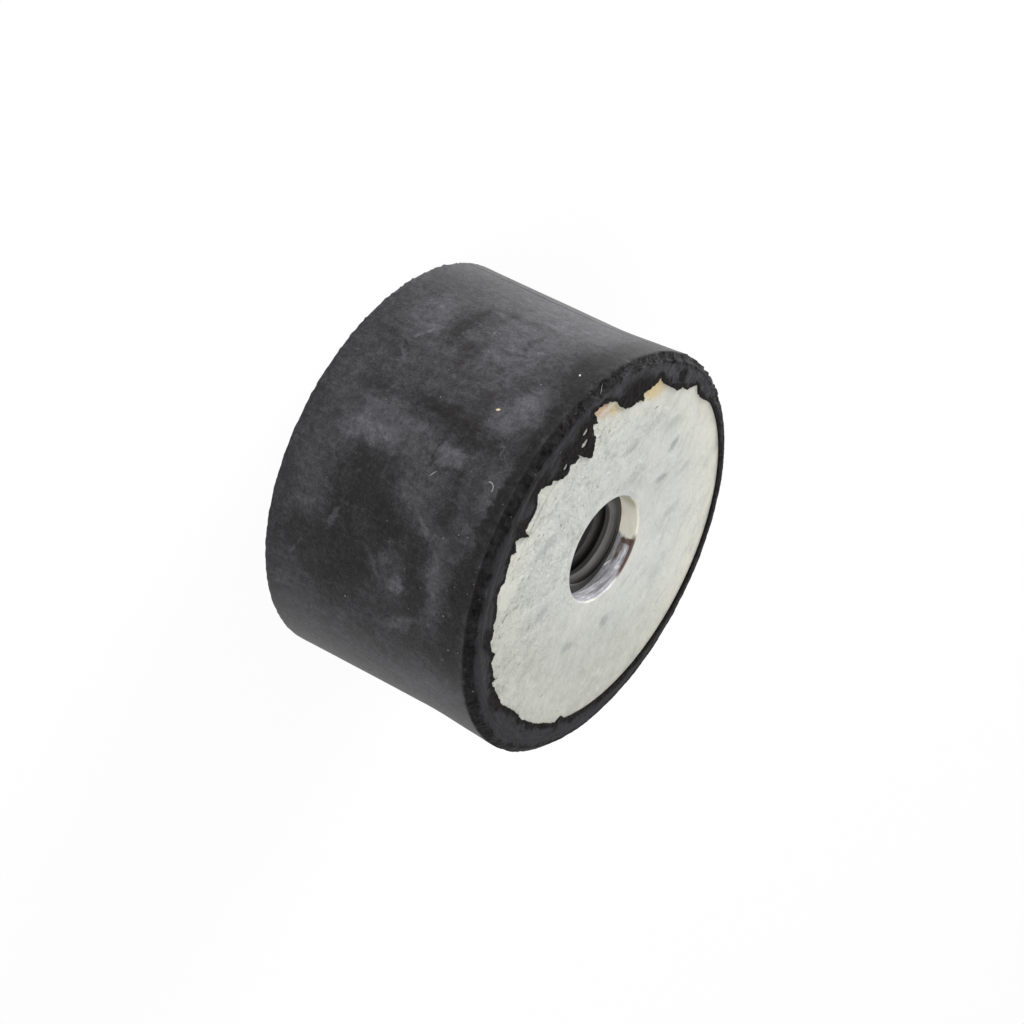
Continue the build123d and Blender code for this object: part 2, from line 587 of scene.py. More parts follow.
# %% [markdown]
# ## Helpers for materials
# Colours are read as screen values, and the shader wants linear ones, so one function
# turns them. One more adds a node with its settings and its links, which keeps each material
# short enough to read as a recipe. A list of inputs follows the node's sockets from the top: a Map
# Range takes its value, the two levels that it comes from and the two that it goes to. Most
# finishes are then coats of colour, each under a mask. A mask is often a noise of one grain.

# %% Colour, nodes, coats and clouds
soft = {"interpolation_type": "SMOOTHSTEP"}    # for a Map Range that fades at both ends


def colour(hex_value):
    """A screen colour such as "8a8d90" as the linear colour that a shader socket takes."""
    parts = [int(hex_value[i : i + 2], 16) / 255 for i in (0, 2, 4)]
    return [p / 12.92 if p <= 0.04045 else ((p + 0.055) / 1.055) ** 2.4 for p in parts] + [1.0]


def add(tree, kind, inputs, **settings):
    """Adds a shader node with its settings. The inputs are named in a dictionary, or listed from
    the first on. Each is a value, or a node or socket to link."""
    node = tree.nodes.new("ShaderNode" + kind)
    for key, value in settings.items():
        setattr(node, key, value)
    for key, value in inputs.items() if isinstance(inputs, dict) else enumerate(inputs):
        if isinstance(value, bpy.types.Node):
            value = next(socket for socket in value.outputs if socket.enabled)
        if isinstance(value, bpy.types.NodeSocket):
            tree.links.new(value, node.inputs[key])
        else:
            node.inputs[key].default_value = value
    return node


def coated(tree, base, coats):
    """Lays coats of colour over a base, one after the other, each where its mask is 1."""
    for mask, coat in coats:
        base = add(tree, "Mix", {0: mask, 6: base, 7: colour(coat)}, data_type="RGBA")
    return base


def patchy(tree, where, grain, levels, shares=(0, 1), detail=6, roughness=0.72, warp=0):
    """Clouds of one grain in mm. Their two levels become the two shares, and more is cut off."""
    clouds = add(tree, "TexNoise", {
        "Vector": where, "Scale": 1 / grain, "Detail": detail, "Roughness": roughness, "Distortion": warp,
    })
    return add(tree, "MapRange", [clouds, levels[0], levels[1], shares[0], shares[1]])


def start_material(name):
    """A new material, its node tree and its place in millimetres from Object coordinates."""
    material = bpy.data.materials.new(name)
    material.use_nodes = True
    tree = material.node_tree
    tree.nodes.clear()
    place = add(tree, "TexCoord", []).outputs["Object"]
    place = add(tree, "VectorMath", {0: place, "Scale": 1 / MM}, operation="SCALE")
    return material, tree, place


def dress(piece, material, surface, node):
    """Ends the material with its surface. The piece wears it, and rides for its CAD piece."""
    tree = material.node_tree
    add(tree, "OutputMaterial", {"Surface": add(tree, "BsdfPrincipled", surface)})
    print(material.name, "has", len(tree.nodes), "nodes")
    piece.data.materials.clear()
    piece.data.materials.append(material)
    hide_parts(node)
    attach(piece, "root")


# %% [markdown]
# ### Marks that have a place
# A rubbed patch, a stain or a speck lies at one place of the real foot, so it isn't left to a
# noise. Each is an ellipse with its middle, its two half sizes in millimetres and its tilt in
# degrees. The flat coordinates it lies on are shaken by clouds first, which frays its edge.

# %% Marks
def shaken(tree, where, place, grain, reach):
    """Flat coordinates moved about by up to the reach, in clouds of one grain, both in mm."""
    clouds = add(tree, "TexNoise", {"Vector": place, "Scale": 1 / grain, "Detail": 7, "Roughness": 0.72})
    clouds = add(tree, "VectorMath", [clouds.outputs["Color"], (0.5, 0.5, 0.5)], operation="SUBTRACT")
    clouds = add(tree, "VectorMath", [clouds, (2 * reach, 2 * reach, 0)], operation="MULTIPLY")
    return add(tree, "VectorMath", [where, clouds], operation="ADD")


def spot(tree, where, middle, half_size, tilt, amount, edge=0.8):
    """An ellipse on flat coordinates: the amount in its middle, 0 past its soft edge."""
    local = add(tree, "Mapping", {
        "Vector": where,
        "Location": (*middle, 0),
        "Rotation": (0, 0, radians(tilt)),
        "Scale": (*half_size, 1),
    }, vector_type="TEXTURE")
    away = add(tree, "VectorMath", [local], operation="LENGTH")
    return add(tree, "MapRange", [away, 1 + edge / 2, 1 - edge / 2, 0, amount], **soft)


def add_up(tree, masks):
    """The sum of masks, held between 0 and 1."""
    summed = masks[0]
    for mask in masks[1:]:
        summed = add(tree, "Math", [summed, mask], operation="ADD", use_clamp=mask is masks[-1])
    return summed


def polar(angle, distance):
    """Flat coordinates of a place given by its angle and its distance from the middle."""
    return distance * cos(radians(angle)), distance * sin(radians(angle))


# %% [markdown]
# ## Moulded rubber with bloom
# Natural rubber filled with carbon black comes out of the mould nearly black. In the months after,
# wax and sulphur creep to its skin and leave a grey-blue bloom, which handling rubs off in patches.
# To the eye that is a cloudy, matt skin with brownish black where it is bare.
# The patches are laid on the skin in millimetres round and up the foot, with 0 at the front.

# %% Places on the rubber
front_angle = 270           # the side that faces the camera, where round_skin is 0
rubber_look, tree, place = start_material("moulded_rubber_with_bloom")
x, y, z = add(tree, "SeparateXYZ", [place]).outputs
towards_front = add(tree, "Math", [y, -1], operation="MULTIPLY")
turn = add(tree, "Math", [x, towards_front], operation="ARCTAN2")
round_skin = add(tree, "Math", [turn, waist_radius], operation="MULTIPLY")
skin = add(tree, "CombineXYZ", {"X": round_skin, "Y": z})
flat = add(tree, "VectorMath", [place, (1, 1, 0)], operation="MULTIPLY")
from_axis = add(tree, "VectorMath", [flat], operation="LENGTH")
on_insert = add(tree, "VectorMath", [flat, (insert_x, 0, 0)], operation="SUBTRACT")
from_insert = add(tree, "VectorMath", [on_insert], operation="LENGTH")
frayed_skin = shaken(tree, skin, place, grain=1.3, reach=1.1)
frayed_top = shaken(tree, on_insert, place, grain=0.6, reach=0.45)


def skin_spot(where, angle, height, half_width, half_height, tilt, amount, edge=1.2):
    """A spot on the side, placed by its angle round the foot and its height."""
    across = radians((angle - front_angle + 180) % 360 - 180) * waist_radius
    return spot(tree, where, (across, height), (half_width, half_height), tilt, amount, edge)


# %% [markdown]
# The table below holds what the photo shows of the bloom: for each patch its angle, its height,
# its half width and half height, its tilt and how strong it is.

# %% Patches of bloom, and places where it is rubbed off
bloom_patches = [
    (262.5, 6.0, 1.5, 2.8, 0, 0.38), (264.5, 9.8, 0.8, 0.9, 0, 0.32), (246.0, 11.9, 1.9, 1.1, -20, 0.45),
    (222.0, 8.8, 2.2, 2.4, 0, 0.30), (228.0, 3.0, 2.1, 1.4, 0, 0.28), (267.0, 13.1, 1.3, 0.6, 0, 0.30),
    (268.5, 3.9, 0.9, 1.6, 10, 0.28), (291.0, 11.2, 1.8, 0.9, 25, 0.32), (304.0, 12.2, 1.8, 0.9, 0, 0.28),
    (302.0, 9.3, 0.7, 0.3, -40, 0.45), (313.0, 9.9, 0.35, 1.5, 35, 0.45), (292.0, 4.4, 0.8, 0.18, -25, 0.5),
    (245.0, 5.0, 2.2, 2.2, 0, 0.15), (204.0, 9.0, 2.6, 4.2, 0, 0.30), (280.0, 2.4, 2.8, 1.5, 0, 0.15),
    (252.0, 1.2, 2.4, 1.0, 0, 0.15), (235.0, 9.0, 1.8, 2.0, 0, 0.15), (275.0, 8.4, 1.4, 1.2, 0, 0.2),
    (300.0, 7.6, 1.1, 0.25, 35, 0.35), (307.0, 2.0, 0.7, 0.16, -35, 0.35), (283.0, 9.9, 0.8, 0.16, 40, 0.3),
    (243.0, 3.2, 0.8, 0.15, 30, 0.3), (234.0, 4.0, 1.0, 0.2, -30, 0.3), (257.0, 12.6, 0.5, 0.12, 50, 0.4),
    (326.0, 2.5, 2.4, 1.8, 0, 0.10), (332.0, 11.0, 1.6, 2.2, 20, 0.16), (296.0, 8.2, 0.5, 0.5, 0, 0.3),
]
rubbed_patches = [
    (256.0, 8.2, 0.8, 4.2, -3, 0.48), (299.0, 10.6, 2.3, 0.8, 8, 0.55), (235.5, 6.7, 0.9, 0.65, 0, 0.45),
    (227.5, 5.3, 2.2, 0.35, 0, 0.4), (228.0, 4.6, 1.5, 0.5, 0, 0.25), (286.0, 5.6, 3.0, 2.2, 20, 0.42),
    (288.0, 8.4, 0.9, 2.2, -10, 0.36), (303.0, 4.4, 1.8, 3.6, 0, 0.40), (214.5, 8.0, 0.35, 2.4, 6, 0.35),
    (222.0, 9.25, 1.1, 0.18, 0, 0.4), (229.7, 8.8, 0.16, 1.0, 0, 0.35), (268.2, 9.8, 0.16, 1.0, 0, 0.35),
    (264.0, 8.9, 1.0, 0.14, 0, 0.35), (212.0, 6.7, 1.6, 0.35, 0, 0.3), (275.0, 10.9, 2.6, 0.6, 0, 0.28),
    (218.0, 13.5, 4.5, 1.1, 0, 0.55), (250.0, 14.0, 5.0, 0.5, 0, 0.5), (313.5, 5.0, 1.2, 1.6, 0, 0.3),
    (241.0, 3.0, 0.5, 1.3, 0, 0.22), (320.0, 9.0, 2.5, 3.0, 0, 0.2), (304.0, 6.6, 0.8, 1.2, 0, 0.25),
    (275.0, 14.0, 4.0, 0.4, 0, 0.45), (300.0, 13.8, 4.0, 0.7, 0, 0.5), (314.0, 12.9, 2.2, 1.3, 0, 0.45),
    (298.0, 13.0, 2.4, 0.9, 0, 0.35), (198.0, 13.4, 3.0, 0.8, 0, 0.5),
]
bloom = add_up(tree, [skin_spot(frayed_skin, *patch) for patch in bloom_patches])
rubbed = add_up(tree, [skin_spot(frayed_skin, *patch) for patch in rubbed_patches])
print("patches of bloom:", len(bloom_patches), "rubbed places:", len(rubbed_patches))

# %% [markdown]
# ### Clouds, strokes and grain over the whole skin
# Bloom never lies evenly. Five noises break it up: clouds of 3 mm, wisps of 0.8 mm, a mottle of
# half a millimetre, the strokes that wiping left, and a grain just coarse enough to show.

# %% Clouds, strokes, wisps, mottle and grain
clouds = patchy(tree, place, 3.0, (0.32, 0.68), (-0.06, 0.26), detail=9, roughness=0.7, warp=0.5)
stroke_place = add(tree, "Mapping", {"Vector": place, "Rotation": (0.6, 0.5, 0.4), "Scale": (1, 1, 0.22)})
strokes = patchy(tree, stroke_place, 0.4, (0.35, 0.65), (-0.11, 0.11), roughness=0.75)
wisp_depth = 0.12
wisps = patchy(tree, place, 0.8, (0.35, 0.65), (-wisp_depth, wisp_depth), detail=8, warp=2.2)
mottle = patchy(tree, place, 0.5, (0.3, 0.7), (-0.18, 0.18), roughness=0.75)
fine_grain = add(tree, "TexNoise", {"Vector": place, "Scale": 1 / 0.11, "Roughness": 0.6})
fine_shade = add(tree, "MapRange", [fine_grain, 0.3, 0.7, -0.13, 0.13])
bloom_base = 0.38           # what lies everywhere
rubbed_share = 0.7
head_room = 0.8             # keeps thick bloom under the end of the ramp, so it keeps its grain
amount = add_up(tree, [bloom, clouds, strokes, wisps, mottle, fine_shade])
amount = add(tree, "Math", [amount, bloom_base], operation="ADD")
rubbed = add(tree, "Math", [rubbed, rubbed_share], operation="MULTIPLY")
amount = add(tree, "Math", [amount, rubbed], operation="SUBTRACT")
amount = add(tree, "Math", [amount, head_room], operation="MULTIPLY", use_clamp=True)

# %% [markdown]
# ### Colour of the skin
# A colour ramp turns the amount of bloom into colour: brownish black where the rubber is bare,
# charcoal for most of it, grey-blue where the bloom lies thick.

# %% Skin colour
ramp = add(tree, "ValToRGB", {"Fac": amount})
stops = ["131111", "222021", "333235", "434346", "545458", "66666b"]
while len(ramp.color_ramp.elements) < len(stops):
    ramp.color_ramp.elements.new(0.5)
for number, (element, hex_value) in enumerate(zip(ramp.color_ramp.elements, stops)):
    element.position = number / (len(stops) - 1)
    element.color = colour(hex_value)

# %% [markdown]
# ### The end face of the rubber
# The smooth ring round the plate pressed on the mould, so it is plain charcoal with faint streaks
# that run round it, and a little bloom on its -X side. Outside it lies the rough black strip where
# the flash tore off, and inside it the torn lip, blackest where fresh rubber shows.

# %% Smooth ring
streaks_round = 7           # how often the streaks change on the way round, and across 1 mm
streaks_across = 4.5
towards = add(tree, "VectorMath", [flat], operation="NORMALIZE")
towards = add(tree, "VectorMath", {0: towards, "Scale": streaks_round}, operation="SCALE")
across_ring = add(tree, "Math", [from_axis, streaks_across], operation="MULTIPLY")
across_ring = add(tree, "CombineXYZ", {"Z": across_ring})
ring_place = add(tree, "VectorMath", [towards, across_ring], operation="ADD")
ring_streaks = patchy(tree, ring_place, 1.0, (0.34, 0.72), detail=7, roughness=0.75)
far_side = add(tree, "MapRange", [x, -4, -11.5, 0, 0.8])
ring_mottle = patchy(tree, place, 0.6, (0.4, 0.62))
far_side = add(tree, "Math", [far_side, ring_mottle], operation="MULTIPLY")
ring_colour = coated(tree, colour("0d0d0e"), [(ring_streaks, "323235"), (far_side, "434346")])
above_parting = add(tree, "MapRange", [z, parting_height - 0.24, parting_height - 0.08], **soft)
face_colour = add(tree, "Mix", {
    0: above_parting, 6: ramp.outputs["Color"], 7: ring_colour,
}, data_type="RGBA")

# %% Torn strip
wander = patchy(tree, place, 0.8, (0.3, 0.7), (-0.6, 0.6), detail=7)
half_wander = add(tree, "Math", [wander, 0.5], operation="MULTIPLY")
strip_place = add(tree, "Math", [from_axis, half_wander], operation="ADD")
strip = add(tree, "MapRange", [strip_place, band_top_radius - 0.25, band_top_radius - 0.05], **soft)
strip = add(tree, "Math", [strip, above_parting], operation="MULTIPLY")
strip_patches = patchy(tree, place, 0.7, (0.4, 0.6), (0.3, 1), detail=5, roughness=0.7)
strip = add(tree, "Math", [strip, strip_patches], operation="MULTIPLY")

# %% Torn lip and slit
lip_place = add(tree, "Math", [from_insert, wander], operation="ADD")
lip = add(tree, "MapRange", [lip_place, 10.5, 10.2], **soft)
tear_distance = add(tree, "Attribute", [], attribute_name="from_tear").outputs["Fac"]
edge_wander = add(tree, "Math", [wander, 0.4], operation="MULTIPLY")
edge_place = add(tree, "Math", [tear_distance, edge_wander], operation="ADD")
tear_edge = add(tree, "MapRange", [edge_place, 0.42, 0.16], **soft)
fresh_tears = [
    (211, 10.3, 0.9, 1.6), (239, 9.7, 1.6, 1.1), (249, 9.8, 1.2, 0.9), (275.5, 10.6, 0.8, 0.6),
    (338, 11.2, 0.5, 1.0), (186, 10.9, 0.5, 0.5), (262, 11.0, 0.5, 1.0), (311, 11.2, 0.4, 0.8),
]
fresh = [
    spot(tree, frayed_top, polar(angle, reach), (half_in, half_round), angle, 1)
    for angle, reach, half_in, half_round in fresh_tears
]
lip = add(tree, "Math", [add_up(tree, [lip, tear_edge] + fresh), above_parting], operation="MULTIPLY")
slit = spot(tree, flat, polar(slit_angle, slit_middle), (0.5, 0.05), slit_angle - 20, 1)
torn = add(tree, "Math", [strip, lip], operation="MAXIMUM")
torn = add(tree, "Math", [torn, slit], operation="MAXIMUM")
torn_shade = add(tree, "TexNoise", {"Vector": place, "Scale": 1 / 0.3, "Detail": 5, "Roughness": 0.75})
torn_tone = add(tree, "MapRange", [torn_shade, 0.42, 0.7])
torn_colour = coated(tree, colour("090808"), [(torn_tone, "282524")])
face_colour = add(tree, "Mix", {0: torn, 6: face_colour, 7: torn_colour}, data_type="RGBA")

# %% [markdown]
# ### Dust, crumbs and the single specks
# Each cell of a Voronoi pattern holds one grain of dust. The cell's random colour sets how large
# the grain is, and in most cells that is nothing. Crumbs sit in the strip. Five pale specks and
# scratches, a tan one and a curled fibre have their own places.

# %% Dust and crumbs
def scattered(tree, place, cells_per_mm, empty_share, largest):
    """Round grains scattered over the surface, up to the largest radius in mm."""
    cells = add(tree, "TexVoronoi", {"Vector": place, "Scale": cells_per_mm})
    chance = add(tree, "SeparateColor", [cells.outputs["Color"]])
    reach = add(tree, "MapRange", [chance, empty_share, 1, 0, largest * cells_per_mm])
    return add(tree, "Math", [cells.outputs["Distance"], reach], operation="LESS_THAN")


dust = scattered(tree, place, cells_per_mm=1.3, empty_share=0.35, largest=0.06)
fine_dust = scattered(tree, place, cells_per_mm=3.1, empty_share=0.6, largest=0.03)
crumbs = scattered(tree, place, cells_per_mm=3.0, empty_share=0.55, largest=0.055)
crumbs = add(tree, "Math", [crumbs, strip], operation="MULTIPLY")
dust = add(tree, "Math", [dust, fine_dust], operation="MAXIMUM")
dust = add(tree, "Math", [dust, 0.75], operation="MULTIPLY")

# %% Single specks
tan_speck = skin_spot(skin, 247.5, 10.7, 0.07, 0.13, 25, 1, 0.5)
specks_and_scratches = [
    (227.2, 13.15, 0.09, 0.05, 30, 0.9, 0.5), (270.3, 9.3, 0.24, 0.03, -35, 0.35, 0.8),
    (281.5, 12.4, 0.04, 0.03, 0, 0.3, 0.5), (281.0, 13.0, 0.03, 0.05, 0, 0.25, 0.5),
    (227.5, 14.68, 0.018, 0.27, -64, 0.35, 0.8),
]
fibre_x, fibre_z = radians(-2.6) * waist_radius, 12.85
fibre_radius, fibre_half_width = 0.33, 0.02
curl = add(tree, "VectorMath", [skin, (fibre_x, fibre_z, 0)], operation="DISTANCE")
curl = add(tree, "Math", [curl, fibre_radius, fibre_half_width], operation="COMPARE")
curl_part = spot(tree, skin, (fibre_x - 0.25, fibre_z + 0.2), (0.40, 0.26), 40, 0.6, 0.3)
curl = add(tree, "Math", [curl, curl_part], operation="MULTIPLY")
pale = add_up(tree, [skin_spot(skin, *speck) for speck in specks_and_scratches] + [curl])
dusty = coated(tree, face_colour, [
    (dust, "7c7b79"), (crumbs, "655c52"), (pale, "d5d4d0"), (tan_speck, "d8c6ab"),
])

# %% [markdown]
# ### Relief and gloss of the rubber
# The skin has a fine grain and short fibres, and the torn parts are rougher. Seen at a low angle
# any skin mirrors more, and bloom spreads that into a grey veil, so the gloss grows towards the
# outline of the foot. The end face is duller, and fresh tears hardly shine.

# %% Relief, gloss and the finished rubber
fibres = add(tree, "TexNoise", {
    "Vector": place, "Scale": 1 / 0.22, "Detail": 5, "Roughness": 0.7, "Distortion": 1.2,
})
torn_height = add(tree, "Math", [torn, torn_shade], operation="MULTIPLY")
relief = add(tree, "Bump", {"Height": fine_grain, "Strength": 0.6, "Distance": 0.025 * MM})
for height, strength, depth in ((fibres, 0.7, 0.05), (torn_height, 0.8, 0.16)):
    relief = add(tree, "Bump", {
        "Height": height, "Strength": strength, "Distance": depth * MM, "Normal": relief,
    })
fibre_share = add(tree, "MapRange", [fibres, 0.35, 0.65, 0.7, 1.3])
wisp_share = add(tree, "MapRange", [wisps, -wisp_depth, wisp_depth, 0.8, 1.2])
sheen_share = add(tree, "Math", [fibre_share, wisp_share], operation="MULTIPLY")
rubber_rough = add(tree, "MapRange", [amount, 0, head_room, 0.5, 0.72])
facing = add(tree, "LayerWeight", [])
side_gloss = add(tree, "MapRange", [facing.outputs["Facing"], 0.45, 0.95, 0.22, 0.78])
gloss = add(tree, "Math", [side_gloss, sheen_share], operation="MULTIPLY")
for mask, level in ((above_parting, 0.135), (torn, 0.05)):
    gloss = add(tree, "Mix", {0: mask, 2: gloss, 3: level})
surface = {"Base Color": dusty, "Roughness": rubber_rough, "Specular IOR Level": gloss, "Normal": relief}
dress(rubber, rubber_look, surface, "rubber_body")

# %% [markdown]
# ## Dull zinc plating
# The plate is zinc plated and has gone dull: a pale, chalky grey with a warm tint near the rim,
# painted shade that darkens it towards +X, faint blue-grey blotches, and pits and scratches where
# rubber was peeled off. Under the torn edge moisture has stained it beige and rust brown.

# %% Places on the plate
plate_look, tree, place = start_material("dull_zinc_plating")
centred = add(tree, "VectorMath", [place, (insert_x, 0, 0)], operation="SUBTRACT")
x, y, z = add(tree, "SeparateXYZ", [centred]).outputs
flat = add(tree, "VectorMath", [centred, (1, 1, 0)], operation="MULTIPLY")
from_hole = add(tree, "VectorMath", [flat], operation="LENGTH")
frayed_plate = shaken(tree, flat, place, grain=0.9, reach=0.5)
wiping = 37                 # degrees, the way the plate was wiped
speck_tilt = 53             # degrees, as most marks on the plate lie

# %% Chalky zinc, haze and blotches
haze = patchy(tree, centred, 2.4, (0.4, 0.75), detail=8, roughness=0.68, warp=0.5)
chalk = patchy(tree, centred, 0.35, (0.35, 0.7), (0, 0.45), detail=5, roughness=0.7)
rim_tint = add(tree, "MapRange", [from_hole, 7.5, 11.4, 0, 0.62])
# painted shade: the zinc darkens towards +X, away from the side lamp, in clouds
painted_shade_towards_x = add(tree, "VectorMath", [flat, (0.98, 0.2, 0)], operation="DOT_PRODUCT")
painted_shade_towards_x = add(tree, "MapRange", [painted_shade_towards_x.outputs["Value"], 0, 8, 0, 0.62], **soft)
shade_clouds = patchy(tree, centred, 0.9, (0.35, 0.65), (0.55, 1.45))
painted_shade_towards_x = add(tree, "Math", [painted_shade_towards_x, shade_clouds], operation="MULTIPLY")
smear_place = add(tree, "Mapping", {
    "Vector": centred, "Rotation": (0, 0, radians(wiping)), "Scale": (0.45, 1, 1),
})
smears = patchy(tree, smear_place, 0.9, (0.5, 0.74), (0, 0.6), detail=7, roughness=0.7, warp=0.8)
blue_blotches = [
    (-7.3, 2.0, 0.22, 0.5, 75, 0.6), (-5.2, 2.5, 0.22, 0.55, 35, 0.6), (-8.35, 0.8, 0.4, 0.6, 53, 0.3),
    (-5.8, -2.7, 0.25, 0.8, 53, 0.35), (6.0, 1.2, 0.3, 0.45, 20, 0.5), (3.7, 4.1, 0.3, 0.45, 75, 0.5),
    (-4.6, -0.6, 0.3, 1.1, 53, 0.28), (-6.4, 4.6, 0.25, 0.7, 53, 0.3), (1.2, -6.6, 0.35, 0.8, 53, 0.4),
    (-7.8, -1.4, 0.3, 0.9, 53, 0.25), (-3.6, 5.4, 0.3, 0.8, 53, 0.25), (4.9, -3.6, 0.3, 0.7, 53, 0.4),
]
blotches = add_up(tree, [
    spot(tree, frayed_plate, (at_x, at_y), (half_wide, half_long), tilt, amount, 1.2)
    for at_x, at_y, half_wide, half_long, tilt, amount in blue_blotches
])
zinc = coated(tree, colour("cacbc5"), [
    (haze, "b8bbb8"), (chalk, "d5d6d1"), (rim_tint, "d8d7c6"), (painted_shade_towards_x, "a9aaa1"),
    (smears, "9fa3a0"), (blotches, "7f8583"),
])

# %% Stains under the torn edge
stains = {
    "cbb98e": [
        (199.5, 10.0, 0.6, 1.2, 0.8), (198.8, 10.6, 0.5, 0.35, 0.9), (224.5, 10.1, 0.35, 0.3, 0.8),
        (220.0, 9.8, 0.4, 0.8, 0.5), (204.5, 9.8, 0.4, 0.8, 0.4),
    ],
    "8f6a4e": [
        (227.5, 10.8, 0.32, 0.45, 0.8), (231.5, 11.0, 0.25, 0.5, 0.7), (221.5, 10.4, 0.15, 0.2, 0.5),
    ],
    "c0a184": [(231.0, 10.75, 0.35, 0.6, 0.8), (229.0, 10.2, 0.4, 0.5, 0.4)],
}
for stain, places in stains.items():
    mask = add_up(tree, [
        spot(tree, frayed_plate, polar(angle, reach), (half_in, half_round), angle, amount, 1.2)
        for angle, reach, half_in, half_round, amount in places
    ])
    zinc = coated(tree, zinc, [(mask, stain)])

# %% Pits
peeled = add(tree, "MapRange", [y, 1, -6, 0.25])
pit_fields = patchy(tree, centred, 1.1, (0.42, 0.62), (0.15, 1), detail=4, roughness=0.65)
peeled = add(tree, "Math", [peeled, pit_fields], operation="MULTIPLY")
pit_place = add(tree, "Mapping", {
    "Vector": centred, "Rotation": (0, 0, radians(wiping)), "Scale": (0.6, 1, 1),
})
pits = add(tree, "TexNoise", {
    "Vector": pit_place, "Scale": 1 / 0.26, "Detail": 6, "Roughness": 0.75, "Distortion": 0.6,
})
pit_mask = add(tree, "MapRange", [pits, 0.53, 0.66, 0, 0.8])
pit_mask = add(tree, "Math", [pit_mask, peeled], operation="MULTIPLY")

# %% Dark specks and the faint arc
dark_specks = [
    (261, 8.45), (276.5, 8.25), (276, 7.8), (286, 9.5), (295, 8.35), (307.5, 9.4), (315, 9.9),
    (327.5, 10.1), (331, 10.5), (337.5, 8.6), (194, 8.8), (225.5, 8.6), (231.5, 8.8), (7, 9.2),
]
specks = add_up(tree, [
    spot(tree, flat, polar(angle, reach), (0.05, 0.09 + 0.05 * (angle % 3)), speck_tilt, 0.7, 0.7)
    for angle, reach in dark_specks
])
arc_radius, arc_half_width = 9.4, 0.14
off_arc = add(tree, "Math", [from_hole, arc_radius], operation="SUBTRACT")
off_arc = add(tree, "Math", [off_arc], operation="ABSOLUTE")
arc = add(tree, "MapRange", [off_arc, arc_half_width, 0])
arc_part = spot(tree, frayed_plate, polar(268, 9.2), (0.9, 2.6), 268, 0.28, 1)
arc = add(tree, "Math", [arc, arc_part], operation="MULTIPLY")
zinc = coated(tree, zinc, [(pit_mask, "60625d"), (add_up(tree, [specks, arc]), "4b4c49")])

# %% [markdown]
# ### The wall of the hole
# The punch burnished the wall of the hole, so it is smooth and shiny. What it mirrors is painted into
# its colour: bright streaks along the tool marks, a cream reflection with an olive end at one side,
# brown reflections below that, white glints, dark bands and painted shade deeper in the hole.

# %% Places on the wall of the hole
turn = add(tree, "Math", [y, x], operation="ARCTAN2")
round_wall = add(tree, "Math", [turn, hole_radius], operation="MULTIPLY")
wall_place = add(tree, "CombineXYZ", {"X": round_wall, "Y": z})
frayed_wall = shaken(tree, wall_place, place, grain=0.5, reach=0.12)
wall = add(tree, "MapRange", [from_hole, hole_radius + rolled_edge - 0.01, hole_radius + 0.04])


def wall_spot(angle, height, half_round, half_high, tilt, amount, edge=0.8):
    """A spot on the wall of the hole."""
    middle = (radians(angle) * hole_radius, height)
    return spot(tree, frayed_wall, middle, (half_round, half_high), tilt, amount, edge)


# %% Marks on the wall of the hole
# painted reflection: cream where the shiny wall would mirror the pale surroundings
cream_reflection_marks = [(144, 14.4, 2.0, 1.3, 0, 1, 0.12), (24, 14.85, 0.6, 0.14, 0, 0.4)]
# painted reflection: brown patches where the wall would mirror something brown
brown_reflection_marks = [
    (104, 14.85, 0.75, 0.26, 0, 0.95), (90, 14.85, 0.7, 0.2, 0, 0.9), (78, 14.82, 0.5, 0.15, 0, 0.7),
    (108, 14.5, 0.2, 0.5, 0, 0.9), (99, 14.08, 0.7, 0.16, 0, 0.75), (86, 14.05, 0.4, 0.1, 0, 0.45),
]
# painted glints and light bands on the wall
glint_marks = [
    (80, 14.5, 0.16, 0.1, 30, 0.9), (84, 14.42, 0.18, 0.05, 0, 0.6), (79, 13.8, 0.24, 0.045, 25, 0.9),
    (93, 14.45, 0.4, 0.08, 0, 0.5), (41, 13.93, 1.0, 0.07, 8, 0.5), (62, 14.84, 0.6, 0.1, 0, 0.4),
]
# painted reflection: dark grey bands on the wall
dark_reflection_marks = [(48, 14.38, 0.95, 0.1, 8, 0.65), (60, 14.0, 1.2, 0.07, 5, 0.5)]
# painted reflection: an olive tint at the end of the cream one
painted_olive_reflection = wall_spot(165, 14.5, 0.7, 0.6, 0, 0.55, 1.3)
painted_cream_reflection, painted_brown_reflection, glints = [
    add_up(tree, [wall_spot(*mark) for mark in marks]) for marks in (cream_reflection_marks, brown_reflection_marks, glint_marks)
]
# painted shade: the wall darkens towards the back of the plate, deeper in the hole
painted_deep_shade = add(tree, "MapRange", [z, plate_back, plate_back + 0.45, 0.75, 0])
painted_dark_bands = add_up(tree, [painted_deep_shade] + [wall_spot(*mark) for mark in dark_reflection_marks])

# %% Colour of the wall
# painted reflection: bright streaks along the tool marks
streak_place = add(tree, "Mapping", {"Vector": place, "Scale": (1, 1, 5)})
reflection_streaks = patchy(tree, streak_place, 0.625, (0.35, 0.65), detail=4, roughness=0.65)
rolled = add(tree, "MapRange", [z, plate_face - 0.2, plate_face - rolled_edge / 2])
rolled_shade = add(tree, "Math", [rolled, 0.6], operation="MULTIPLY")
# the wall's colour holds its painted reflections, glints and shade
wall_colour_with_reflections = coated(tree, colour("9a9aa0"), [
    (reflection_streaks, "dddce4"), (rolled_shade, "b3b4ae"), (painted_dark_bands, "6d6f6f"), (painted_cream_reflection, "f5f2e0"),
    (painted_olive_reflection, "a9a784"), (glints, "ffffff"), (painted_brown_reflection, "5c493f"),
])
zinc = add(tree, "Mix", {0: wall, 6: zinc, 7: wall_colour_with_reflections}, data_type="RGBA")

